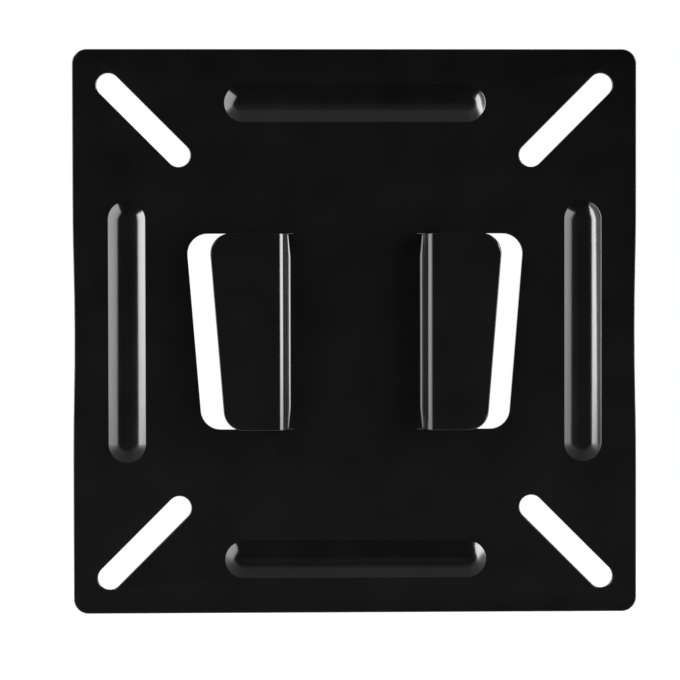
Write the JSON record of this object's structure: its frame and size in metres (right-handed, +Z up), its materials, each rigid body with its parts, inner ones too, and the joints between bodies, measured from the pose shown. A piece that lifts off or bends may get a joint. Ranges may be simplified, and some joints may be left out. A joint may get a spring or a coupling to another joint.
{
  "type": "tv wall mount",
  "caption": "Square pressed steel plate with diagonal screw slots for a screen's back, stiffening beads and offset tongues that hook onto a rail on the wall.",
  "frame": {"origin": "centre of the flat back face, which lies against the screen", "axes": "+Y out of the back face towards the screen, +Z up as the plate hangs, +X to the right as seen from the wall side"},
  "size_m": [0.1168, 0.0076, 0.1168],
  "materials": {
    "black_paint": "semi-gloss black paint on pressed sheet steel"
  },
  "bodies": {
    "root": {"mounting_plate": "black_paint"}
  },
  "joints": []
}
